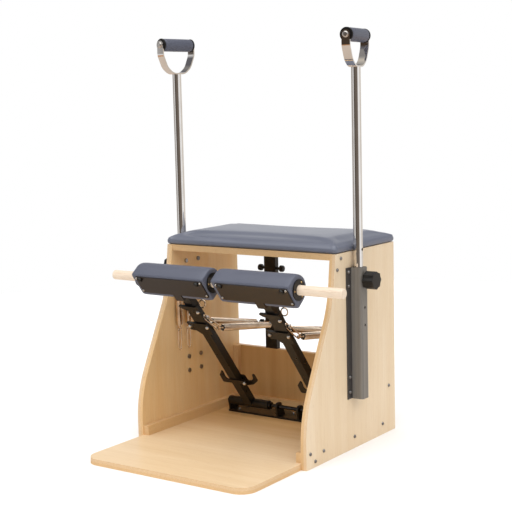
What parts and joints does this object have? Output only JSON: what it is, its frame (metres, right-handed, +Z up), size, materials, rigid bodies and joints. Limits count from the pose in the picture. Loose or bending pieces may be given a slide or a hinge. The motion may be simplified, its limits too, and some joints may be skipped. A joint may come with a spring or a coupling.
{
  "type": "pilates chair",
  "caption": "Plywood box-seat exercise chair with a padded top, sprung foot pedals joined by a dowel, and height-adjustable side poles with stirrup handles.",
  "frame": {"origin": "on the floor, on the chair's middle plane and halfway along its depth", "axes": "+X to the right as seen by someone who faces the seat from the platform, +Y to the back, +Z up"},
  "size_m": [0.795, 0.754, 1.1855],
  "materials": {
    "birch_ply": "clear satin lacquer",
    "grey_vinyl": "soft matte vinyl",
    "black_steel": "satin powder coat",
    "chrome": "polished",
    "spring_steel": "bright nickel",
    "pale_dowel": "smooth turned",
    "black_plastic": "matte",
    "screw_steel": "zinc"
  },
  "bodies": {
    "frame": {"base_board": "birch_ply", "left_side_panel": "birch_ply", "right_side_panel": "birch_ply", "back_panel": "birch_ply", "seat_board": "birch_ply", "seat_cushion": "grey_vinyl", "left_floor_cleat": "birch_ply", "right_floor_cleat": "birch_ply", "rear_floor_cleat": "birch_ply", "left_corner_cleat": "birch_ply", "right_corner_cleat": "birch_ply", "pivot_base": "black_steel", "axle": "screw_steel", "axle_brackets": "black_steel", "front_spare_spring": "spring_steel", "rear_spare_spring": "spring_steel", "spare_spring_hooks": "spring_steel", "frame_screws": "screw_steel", "left_spring_post": "black_steel", "left_post_pegs": "black_plastic", "left_pole_socket": "black_steel", "left_pole_guides": "black_plastic", "left_inner_spring": "spring_steel", "left_outer_spring": "spring_steel", "left_spring_anchors": "spring_steel", "right_spring_post": "black_steel", "right_post_pegs": "black_plastic", "right_pole_socket": "black_steel", "right_pole_guides": "black_plastic", "right_inner_spring": "spring_steel", "right_outer_spring": "spring_steel", "right_spring_anchors": "spring_steel"},
    "left_pedal": {"left_arm": "black_steel", "left_spring_plates": "black_steel", "left_hook_cradle": "black_steel", "left_pedal_plate": "black_steel", "left_pedal_pad": "grey_vinyl", "left_dowel_flanges": "black_steel", "left_pedal_bolts": "screw_steel", "left_snap_hooks": "spring_steel"},
    "left_upright": {"left_pole": "chrome", "left_handle_strap": "chrome", "left_grip_bolt": "screw_steel"},
    "left_grip": {"left_handle_grip": "grey_vinyl"},
    "left_lock": {"left_lock_knob": "black_plastic"},
    "right_pedal": {"right_arm": "black_steel", "right_spring_plates": "black_steel", "right_hook_cradle": "black_steel", "right_pedal_plate": "black_steel", "right_pedal_pad": "grey_vinyl", "right_dowel_flanges": "black_steel", "right_pedal_bolts": "screw_steel", "right_snap_hooks": "spring_steel"},
    "right_upright": {"right_pole": "chrome", "right_handle_strap": "chrome", "right_grip_bolt": "screw_steel"},
    "right_grip": {"right_handle_grip": "grey_vinyl"},
    "right_lock": {"right_lock_knob": "black_plastic"},
    "dowel_rod": {"dowel": "pale_dowel"}
  },
  "joints": [
    {"name": "left_pedal_press", "type": "hinge", "parent": "frame", "child": "left_pedal", "pos_m": [-0.1435, 0.24, 0.054], "axis": [1, 0, 0], "range_deg": [0, 44], "stiffness_Nm_per_rad": 60, "springref_deg": -28.65, "deforming": ["left_inner_spring", "left_outer_spring"]},
    {"name": "left_pole_height", "type": "slide", "parent": "frame", "child": "left_upright", "axis": [0, 0, 1], "range_m": [-0.06, 0.1]},
    {"name": "left_grip_turn", "type": "hinge", "parent": "left_upright", "child": "left_grip", "pos_m": [-0.315, 0.136, 1.166], "axis": [0.1219, 0.9925, 0], "continuous": true},
    {"name": "left_lock_pull", "type": "slide", "parent": "frame", "child": "left_lock", "axis": [-1, 0, 0], "range_m": [0, 0.01], "stiffness_N_per_m": 400},
    {"name": "right_pedal_press", "type": "hinge", "parent": "frame", "child": "right_pedal", "pos_m": [0.1435, 0.24, 0.054], "axis": [1, 0, 0], "range_deg": [0, 44], "stiffness_Nm_per_rad": 60, "springref_deg": -28.65, "deforming": ["right_inner_spring", "right_outer_spring"]},
    {"name": "right_pole_height", "type": "slide", "parent": "frame", "child": "right_upright", "axis": [0, 0, 1], "range_m": [-0.06, 0.1]},
    {"name": "right_grip_turn", "type": "hinge", "parent": "right_upright", "child": "right_grip", "pos_m": [0.315, 0.136, 1.166], "axis": [-0.1219, 0.9925, 0], "continuous": true},
    {"name": "right_lock_pull", "type": "slide", "parent": "frame", "child": "right_lock", "axis": [1, 0, 0], "range_m": [0, 0.01], "stiffness_N_per_m": 400},
    {"name": "dowel_shift", "type": "slide", "parent": "left_pedal", "child": "dowel_rod", "axis": [1, 0, 0], "range_m": [-0.1, 0.1]}
  ],
  "couplings": [
    {"joint": "right_pedal_press", "follows": "left_pedal_press", "ratio": 1}
  ]
}
